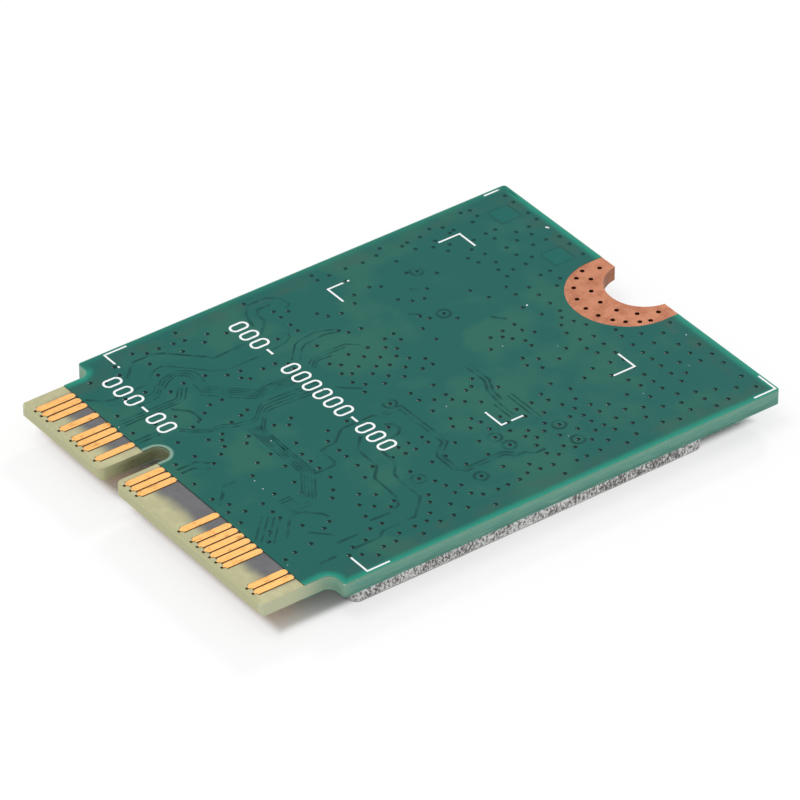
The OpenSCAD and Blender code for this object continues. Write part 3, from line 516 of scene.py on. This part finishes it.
def mask_finish(sizes, colours):
    """Semi-gloss green lacquer over copper, laminate and vias."""
    finish = Finish("solder_mask", 0.0, 0.38, specular=0.02)
    x, y, z = finish.spot.axes()
    edge = from_outline(x, y)
    slot = from_slot(x, y)
    rim = sizes.bare_rim / MM
    wander = finish.spot.noise(1.1) * 0.16
    body = finish.spot.noise(0.3, 3).rise(0.48, 0.66).blend(colours.mask, colours.mask_patch)
    dull = edge.inside(rim, 3 * rim, 0.2) * finish.spot.noise(0.5, 3).rise(0.4, 0.6) * 0.45
    body = dull.blend(body, colours.mask_dull)
    for from_edge, low in SQUARES:
        middle = (CONTACT_EDGE + from_edge + SQUARE_W / 2, low + SQUARE_W / 2)
        reach = abs(x - middle[0]).most(abs(y - middle[1])) - SQUARE_W / 2
        body = (reach.inside(-0.03, 0.07, 0.05) * 0.5).blend(body, colours.mask_gap)
        body = ((1 - reach.rise(-0.1, 0)) * 0.5).blend(body, colours.mask_clear)
    thin_rim = y.rise(HALF_W - 1, HALF_W - 0.5) * 0.65
    inside = (edge + wander).rise(0.15, rim + 0.2)
    base = (inside + (1 - inside) * thin_rim).blend(colours.mask_rim, body)
    bare = (edge + finish.spot.noise(5, 3) * 0.08).rise(0.04, 0.14)
    base = bare.blend(colours.wall, base)
    pale = 1 - slot.rise(0.6 * sizes.slot_rim / MM, 1.3 * sizes.slot_rim / MM)
    base = pale.blend(base, colours.slot_rim)
    on_back = z.rise(MASK_LOW.z - 0.2, MASK_LOW.z - 0.1)
    depth = (MASK_TOP - z) * edge.rise(0.05, 0.09) * on_back
    filled = (x * 0.6 + y * 0.8).rise(2, 12) * 0.75
    bottom = filled.blend(colours.via, colours.mask_gap)
    finish.feed("Base Color", depth.rise(0.001, 0.012).blend(base, bottom))
    finish.feed("Coat Weight", depth.rise(0.0005, 0.003) * (0.2 - filled * 0.24))
    finish.shader.inputs["Coat Roughness"].default_value = 0.12
    finish.feed("Roughness", finish.spot.noise(2.5, 4) * 0.16 + 0.3)
    finish.bump(finish.spot.noise(3.0, 3), 0.006)
    return finish


def gap_finish(colours):
    """The same lacquer where it dips between two tracks."""
    finish = Finish("solder_mask_gap", 0.0, 0.4, specular=0.02)
    uneven = finish.spot.noise(1.6, 2).rise(0.35, 0.7)
    finish.feed("Base Color", uneven.blend(colours.mask_gap, colours.mask))
    finish.feed("Roughness", finish.spot.noise(2.5, 4) * 0.16 + 0.32)
    return finish


def tab_top(spot, colours, glass, cloud):
    """The bare tab from above: resin, inner copper and painted shade in the gaps between the
    contacts.
    """
    x, y, _ = spot.axes()
    from_edge = x - CONTACT_EDGE
    resin = glass.blend(colours.laminate, toned(colours.laminate, 1.2))
    plane = (from_edge + cloud * 0.7).rise(1.05, 1.95) * (9.3 - abs(y)).rise(-0.2, 0.4)
    plane = plane * from_slot(x, y).rise(0.25, 0.95)
    metal = spot.noise(1.4, 3).rise(0.35, 0.75).blend(
        colours.inner_plane, toned(colours.inner_plane, 1.25)
    )
    # Painted shade: dark lines in the gaps between the contacts and along their sides, where the
    # plating's thickness casts shade
    between = y.math("PINGPONG", y, CONTACT_PITCH / 2).rise(0.19, 0.205)
    groups = y.inside(*CONTACT_GROUPS[0], 0.02)
    for low, high in CONTACT_GROUPS[1:]:
        groups = groups + y.inside(low, high, 0.02)
    gaps = between * groups * from_edge.inside(0.36, 2.5, 0.03)
    return gaps.blend(plane.blend(resin, metal), colours.contact_gap_shade)


def cut_walls(spot, colours, streaks):
    """The board's cut walls: layers all round, paler on the tab, a painted highlight along their
    upper half, and in the key slot dark fibres under painted shade that deepens into the slot and
    downwards.
    """
    x, y, z = spot.axes()
    from_edge = x - CONTACT_EDGE
    height = (z - BOARD_LOW.z) / (BOARD_HIGH.z - BOARD_LOW.z)
    layers = (height * 31).math("SINE", height * 31) * 0.02
    side = height.rise(0.0, 0.5).blend(colours.wall_low, colours.wall)
    side = (streaks + layers).rise(0.45, 0.8).blend(side, colours.wall_glass_and_highlight)
    # Painted highlight: the upper half of the wall turns paler
    side = (height.rise(0.45, 0.95) * 0.5).blend(side, colours.wall_glass_and_highlight)
    cut_glass = (abs(y).rise(9.6, 9.8) * 0.5).blend(
        toned(colours.laminate, 1.2), colours.tab_corner
    )
    tab = 1 - from_edge.rise(1.5, 5)
    side = (tab * 0.94).blend(side, cut_glass)
    fibres = spot.scaled(1.2, 1.2, 9).noise(3, 4, 0.7).rise(0.42, 0.66)
    cut = fibres.blend(colours.slot_wall_and_shade, toned(colours.slot_wall_and_shade, 0.62))
    # Painted shade in the key slot: its darker wall colour takes over deeper into the slot and
    # towards the lower face
    shade = from_edge.rise(0.2, 2, 0.15, 1) * height.rise(0.55, 1, 1, 0.5)
    side = ((1 - from_slot(x, y).rise(0.02, 0.06)) * shade).blend(side, cut)
    chips = spot.noise(9, 3, 0.6).rise(0.66, 0.72) * height.rise(0.72, 0.95)
    return chips.blend(side, colours.chip)


def laminate_finish(colours):
    """Pressed glass and resin: the bare tab on top, the cut layers on the walls."""
    finish = Finish("laminate", 0.0, 0.5, specular=0.35)
    spot = finish.spot
    cloud = spot.noise(0.9, 3)
    weave = spot.scaled(2.4, 2.4, 0.2).cells(1.0)
    glass = (cloud * 0.6 + weave * 0.25).rise(0.32, 0.62)
    streaks = spot.scaled(0.7, 0.7, 14).noise(1.2, 3)
    top = tab_top(spot, colours, glass, cloud)
    side = cut_walls(spot, colours, streaks)
    on_top = spot.axes()[2].rise(BOARD_HIGH.z - 0.012, BOARD_HIGH.z - 0.004)
    finish.feed("Base Color", on_top.blend(side, top))
    finish.feed("Roughness", spot.noise(4, 3) * 0.25 + 0.36)
    finish.bump(streaks + spot.noise(7, 3), 0.008)
    return finish


def gold_finish(colours):
    """Soft gold plating with the rubbed marks of a socket's springs."""
    finish = Finish("gold_plating", 1.0, 0.3)
    rubbed = finish.spot.scaled(0.5, 9, 1).noise(1.5, 4, 0.6)
    cloud = finish.spot.noise(2.2, 4, 0.65)
    worn = (rubbed * 0.5 + cloud * 0.5).rise(0.5, 0.66)
    base = worn.blend(colours.gold, colours.gold_worn)
    pits = finish.spot.noise(14, 2).rise(0.72, 0.78)
    base = pits.blend(base, colours.pit)
    from_edge = finish.spot.axes()[0] - CONTACT_EDGE
    cut = 1 - (from_edge + finish.spot.noise(8, 2) * 0.06).rise(0.26, 0.31)
    finish.feed("Base Color", cut.blend(base, colours.gold_end))
    finish.feed("Roughness", cloud * 0.3 + 0.26)
    finish.bump(rubbed + finish.spot.noise(11, 2) * 0.6, 0.004)
    return finish


def copper_finish(colours):
    """Bare copper with a dull coating, stained in places."""
    finish = Finish("bare_copper", 1.0, 0.42)
    stain = finish.spot.noise(1.3, 5, 0.62)
    base = stain.rise(0.4, 0.66).blend(colours.copper, colours.copper_dull)
    grain = finish.spot.noise(16, 3, 0.6)
    base = grain.rise(0.62, 0.78).blend(base, colours.copper_dull)
    finish.feed("Base Color", base)
    finish.feed("Roughness", grain * 0.3 + 0.32)
    finish.bump(grain, 0.006)
    return finish


def ink_finish(colours):
    """Matt white ink with ragged edges, broken where it sinks into a via."""
    finish = Finish("white_ink", 0.0, 0.65)
    x, y, _ = finish.spot.axes()
    thin = finish.spot.noise(9, 3, 0.6)
    rubbed = x.rise(SCREW_EDGE - 0.7, SCREW_EDGE - 0.4) * y.rise(8.9, 9.3)
    whole = (1 - rubbed) * (1 - thin.rise(0.68, 0.7))
    for from_edge, across in INK_BREAKS:
        dx = x - (CONTACT_EDGE + from_edge)
        dy = y - across
        whole = whole * ((dx * dx + dy * dy) ** 0.5 + thin * 0.1).rise(0.17, 0.19)
    finish.feed("Base Color", thin.rise(0.56, 0.74).blend(colours.ink, toned(colours.ink, 0.72)))
    finish.feed("Alpha", whole)
    finish.bump(thin, 0.004)
    return finish


def sheet_finish(colours):
    """Tinned sheet with a mottled grain, and painted shade along the lower edge of its sides."""
    finish = Finish("tinned_sheet", 0.55, 0.5)
    x, y, z = finish.spot.axes()
    from_side = (x - SHIELD_LOW.x).least(SHIELD_HIGH.x - x).least(SHIELD_HIGH.y - abs(y))
    face = from_side.rise(0.15, 0.35)
    grain = finish.spot.scaled(1, 1, 0.7).noise(8, 5, 0.75)
    coarse = finish.spot.noise(1.2, 3)
    speckle = (grain * 0.8 + coarse * 0.2).rise(0.44, 0.56) * z.rise(0.1, 0.24, 0.35, 1)
    mottle = speckle * (1 - face) + (grain * 0.7 + coarse * 0.3).rise(0.3, 0.8) * 0.5 * face
    base = mottle.blend(colours.sheet, colours.sheet_grain_and_shade)
    # Painted shade: the sides go dark just above the floor, along the bent lower edge
    base = (z.inside(0.01, 0.13, 0.02) * (1 - face) * 0.85).blend(base, colours.sheet_grain_and_shade)
    finish.feed("Base Color", base)
    finish.feed("Roughness", grain * 0.4 + 0.3)
    finish.bump(grain, 0.03)
    return finish


def plain_finish(name, shade, roughness, metallic=0.0, grain=6.0, depth=0.004):
    """One colour with a fine grain, for a piece under the board."""
    finish = Finish(name, metallic, roughness)
    cloud = finish.spot.noise(grain, 4, 0.6)
    finish.feed("Base Color", cloud.rise(0.35, 0.7).blend(shade, toned(shade, 0.8)))
    finish.feed("Roughness", cloud * 0.2 + (roughness - 0.1))
    finish.bump(cloud, depth)
    return finish


class CARD_OT_dress_board(bpy.types.Operator):
    """Give the laminate, the solder masks and the printed marks their finishes"""

    bl_idname = "card.dress_board"
    bl_label = "Dress the board"

    def execute(self, context):
        sizes, colours = context.scene.card_sizes, context.scene.card_colours
        mask = mask_finish(sizes, colours)
        dress("board_laminate", laminate_finish(colours))
        dress("back_mask", mask)
        dress("component_mask", mask)
        dress("back_legend", ink_finish(colours))
        return {"FINISHED"}


class CARD_OT_draw_track_gaps(bpy.types.Operator):
    """Draw the dark gaps between the copper tracks as low beads of lacquer"""

    bl_idname = "card.draw_track_gaps"
    bl_label = "Draw the track gaps"

    def execute(self, context):
        sizes, finish = context.scene.card_sizes, gap_finish(context.scene.card_colours)
        for name, paths, rings, width in (
            ("track_gaps", LOOSE_GAPS, RING_GAPS, sizes.gap_width),
            ("bundled_gaps", bundled_gaps(), [], sizes.bundled_width),
        ):
            hand_over(raise_beads(name, paths, rings, width, sizes), finish)
        return {"FINISHED"}


class CARD_OT_scatter_specks(bpy.types.Operator):
    """Scatter the few specks of dust and the chips that lie on the mask"""

    bl_idname = "card.scatter_specks"
    bl_label = "Scatter the specks"

    def execute(self, context):
        draw = random.Random(context.scene.card_stage.specks_seed)
        flakes = []
        for x, y, width in SPECKS:
            wide = width * MM
            flake = start_mesh(
                "speck", bpy.ops.mesh.primitive_ico_sphere_add, subdivisions=2, radius=wide / 2
            )
            bpy.ops.object.mode_set(mode="EDIT")
            bpy.ops.transform.vertex_random(
                offset=wide * SPECK_ROUGHNESS, seed=draw.randrange(100)
            )
            bpy.ops.transform.resize(
                value=(1, draw.uniform(0.45, 0.8), SPECK_HEIGHT), center_override=(0, 0, 0)
            )
            bpy.ops.transform.rotate(
                value=draw.uniform(0, math.pi), orient_axis="Z", center_override=(0, 0, 0)
            )
            bpy.ops.transform.translate(value=row_point(x, y, MASK_TOP))
            bpy.ops.object.mode_set(mode="OBJECT")
            flakes.append(flake)
        select_only(*flakes)
        bpy.ops.object.join()
        specks = bpy.context.object
        specks.name = specks.data.name = "mask_specks"
        hand_over(specks, plain_finish("dust", tint(232, 238, 236), 0.7))
        return {"FINISHED"}


class CARD_OT_plate_metal(bpy.types.Operator):
    """Plate the contacts, the lands and the antenna rings, and leave the screw pad bare"""

    bl_idname = "card.plate_metal"
    bl_label = "Plate the metal"

    def execute(self, context):
        colours = context.scene.card_colours
        gold = gold_finish(colours)
        for node in (
            "back_contacts", "component_contacts", "component_lands",
            "antenna_socket_shells", "antenna_socket_pins", "crystal_terminals",
        ):
            dress(node, gold)
        dress("screw_pad", copper_finish(colours))
        return {"FINISHED"}


class CARD_OT_press_shield(bpy.types.Operator):
    """Press the shield's cover: a flat tray with round corners, a bent edge and small dents"""

    bl_idname = "card.press_shield"
    bl_label = "Press the shield"

    def execute(self, context):
        sizes, colours = context.scene.card_sizes, context.scene.card_colours
        low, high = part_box("shield_cover")
        middle = (low + high) / 2
        cover = start_mesh("shield_can", bpy.ops.mesh.primitive_cube_add, size=1, location=middle)
        cover.scale = high - low
        bpy.ops.object.transform_apply(location=True, rotation=True, scale=True)
        bpy.ops.object.mode_set(mode="EDIT")
        pick(cover, "EDGE", lambda a, b: abs(a.z - b.z) > MM / 2)
        bpy.ops.mesh.bevel(offset=sizes.corner, segments=8)
        pick(cover, "FACE", lambda f: f.normal.z > 0.9)
        bpy.ops.mesh.delete(type="ONLY_FACE")
        pick(cover, "EDGE", lambda a, b: max(a.z, b.z) < low.z + 1e-7)
        bpy.ops.mesh.bevel(offset=sizes.bend, segments=6)
        for axis, normal in enumerate(((1, 0, 0), (0, 1, 0))):
            count = round((high[axis] - low[axis]) / (SHEET_GRID * MM))
            for i in range(1, count):
                plane = Vector(middle)
                plane[axis] = low[axis] + (high[axis] - low[axis]) * i / count
                bpy.ops.mesh.select_all(action="SELECT")
                bpy.ops.mesh.bisect(plane_co=plane, plane_no=normal)
        bpy.ops.object.mode_set(mode="OBJECT")
        dents = bpy.data.textures.new("dents", "CLOUDS")
        dents.noise_scale = DENT_SIZE * MM
        dents.noise_depth = 3
        bpy.ops.object.modifier_add(type="DISPLACE")
        push = cover.modifiers[-1]
        push.texture = dents
        push.texture_coords = "LOCAL"
        push.mid_level = 1.0
        push.strength = sizes.dents
        bpy.ops.object.modifier_apply(modifier=push.name)
        bpy.ops.object.modifier_add(type="SOLIDIFY")
        wall = cover.modifiers[-1]
        wall.thickness = sizes.sheet
        wall.offset = -1
        bpy.ops.object.modifier_apply(modifier=wall.name)
        bpy.ops.object.shade_smooth_by_angle(angle=math.radians(40))
        hand_over(cover, sheet_finish(colours))
        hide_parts("shield_cover")
        return {"FINISHED"}


class CARD_OT_dress_components(bpy.types.Operator):
    """Give the pieces on the shielded face their plain finishes"""

    bl_idname = "card.dress_components"
    bl_label = "Dress the components"

    def execute(self, context):
        solder = plain_finish("solder", (0.6, 0.61, 0.62), 0.34, 1.0, 3.0, 0.012)
        tin = plain_finish("matt_tin", (0.56, 0.56, 0.55), 0.45, 1.0, 8.0)
        moulding = plain_finish("black_moulding", tint(38, 38, 40), 0.6, grain=9.0)
        white = plain_finish("white_ceramic", tint(226, 222, 214), 0.55)
        tan = plain_finish("tan_ceramic", tint(164, 134, 104), 0.55)
        ferrite = plain_finish("ferrite", tint(74, 74, 76), 0.7, grain=12.0, depth=0.01)
        finishes = {
            solder: ("solder_joints", "shield_solder"),
            tin: (
                "radio_leads", "radio_ground_pad", "front_end_leads", "regulator_leads",
                "memory_leads", "crystal_lid", "inductor_terminals", "filter_terminals",
                "capacitor_terminals", "resistor_terminals",
            ),
            moulding: ("radio_chip", "front_end_chips", "regulator_chip", "memory_chip"),
            white: ("band_filters", "resistors"),
            tan: ("crystal_case", "capacitors"),
            ferrite: ("power_inductors",),
            plain_finish("socket_plastic", tint(222, 212, 182), 0.5): ("antenna_socket_bases",),
            plain_finish("resistor_film", tint(22, 22, 26), 0.25): ("resistor_films",),
            sheet_finish(context.scene.card_colours): ("shield_frame",),
        }
        for finish, nodes in finishes.items():
            for node in nodes:
                dress(node, finish)
        return {"FINISHED"}


def lay_floor(stage, colours):
    """Pale paper under the card, white where no shadow of the card falls."""
    floor = start_mesh(
        "floor", bpy.ops.mesh.primitive_plane_add, size=4, location=(0, 0, -FLOOR_DROP * MM)
    )
    bpy.ops.object.transform_apply(location=True, rotation=False, scale=False)
    paper = bpy.data.materials.new("pale_paper")
    paper.use_nodes = True
    tree = paper.node_tree
    shader = tree.nodes["Principled BSDF"]
    shader.inputs["Roughness"].default_value = 1.0
    shader.inputs["Specular IOR Level"].default_value = 0.0
    shader.inputs["Base Color"].default_value = (*colours.floor, 1)
    white = tree.nodes.new("ShaderNodeEmission")
    mix = tree.nodes.new("ShaderNodeMixShader")
    x, y, _ = object_spot(tree).axes()
    outside = (abs(x) - SCREW_EDGE).most(abs(y) - HALF_W).rise(-1.3, -0.6)
    shown = shown_rays(tree) * outside * stage.shown_white
    tree.links.new(shown.socket, mix.inputs["Fac"])
    tree.links.new(shader.outputs["BSDF"], mix.inputs[1])
    tree.links.new(white.outputs["Emission"], mix.inputs[2])
    tree.links.new(mix.outputs["Shader"], tree.nodes["Material Output"].inputs["Surface"])
    floor.data.materials.append(paper)


def light_room(scene, stage):
    """An even white room that looks plain white, and two lamps aimed at the card."""
    scene.world = bpy.data.worlds.new("soft_room")
    scene.world.use_nodes = True
    tree = scene.world.node_tree
    strength = shown_rays(tree) * (1 - stage.ambient) + stage.ambient
    background = tree.nodes["Background"]
    background.inputs["Color"].default_value = (1, 1, 1, 1)
    tree.links.new(strength.socket, background.inputs["Strength"])
    for name, power in (("soft_box", stage.key_power), ("back_lamp", stage.back_power)):
        place, width = LAMPS[name]
        bpy.ops.object.light_add(type="AREA", location=place)
        lamp = bpy.context.object
        lamp.name = name
        lamp.data.shape = "DISK"
        lamp.data.size = width
        lamp.data.energy = power
        lamp.rotation_euler = (-Vector(place)).to_track_quat("-Z", "Y").to_euler()


def place_camera(scene, stage):
    """The photo's view."""
    bpy.ops.object.camera_add(location=[c * MM for c in CAMERA_PLACE])
    camera = bpy.context.object
    heading, drop, roll = map(math.radians, (CAMERA_HEADING, CAMERA_DROP, CAMERA_ROLL))
    gaze = Vector((
        math.cos(drop) * math.cos(heading), math.cos(drop) * math.sin(heading), -math.sin(drop)
    ))
    camera.rotation_mode = "QUATERNION"
    camera.rotation_quaternion = Quaternion(gaze, roll) @ gaze.to_track_quat("-Z", "Y")
    camera.data.lens = stage.lens
    camera.data.sensor_width = 36
    camera.data.clip_start, camera.data.clip_end = 0.01, 10
    scene.camera = camera


class CARD_OT_set_stage(bpy.types.Operator):
    """Lay a pale floor, light the room and place the camera"""

    bl_idname = "card.set_stage"
    bl_label = "Set the stage"

    def execute(self, context):
        scene = context.scene
        lay_floor(scene.card_stage, scene.card_colours)
        light_room(scene, scene.card_stage)
        place_camera(scene, scene.card_stage)
        scene.view_settings.view_transform = "Standard"
        return {"FINISHED"}


class CARD_PT_panel(bpy.types.Panel):
    """Lists the steps that dress the card"""

    bl_idname = "CARD_PT_panel"
    bl_label = "Wifi Card"
    bl_space_type = "VIEW_3D"
    bl_region_type = "UI"
    bl_category = "Wifi Card"

    def draw(self, context):
        for step in STEPS:
            self.layout.operator(step.bl_idname)
        for group_name, kind in GROUPS.items():
            for name in kind.__annotations__:
                self.layout.prop(getattr(context.scene, group_name), name)


STEPS = (
    CARD_OT_dress_board,
    CARD_OT_draw_track_gaps,
    CARD_OT_scatter_specks,
    CARD_OT_plate_metal,
    CARD_OT_press_shield,
    CARD_OT_dress_components,
    CARD_OT_set_stage,
)
GROUPS = {"card_sizes": CardSizes, "card_colours": CardColours, "card_stage": CardStage}


def register():
    for group in GROUPS.values():
        bpy.utils.register_class(group)
    for name, group in GROUPS.items():
        setattr(bpy.types.Scene, name, PointerProperty(type=group))
    for step in (*STEPS, CARD_PT_panel):
        bpy.utils.register_class(step)


def unregister():
    for step in (CARD_PT_panel, *reversed(STEPS)):
        bpy.utils.unregister_class(step)
    for name, group in GROUPS.items():
        delattr(bpy.types.Scene, name)
        bpy.utils.unregister_class(group)


def main():
    register()
    bpy.ops.card.dress_board()
    bpy.ops.card.draw_track_gaps()
    bpy.ops.card.scatter_specks()
    bpy.ops.card.plate_metal()
    bpy.ops.card.press_shield()
    bpy.ops.card.dress_components()
    bpy.ops.card.set_stage()


if __name__ == "__main__":
    main()
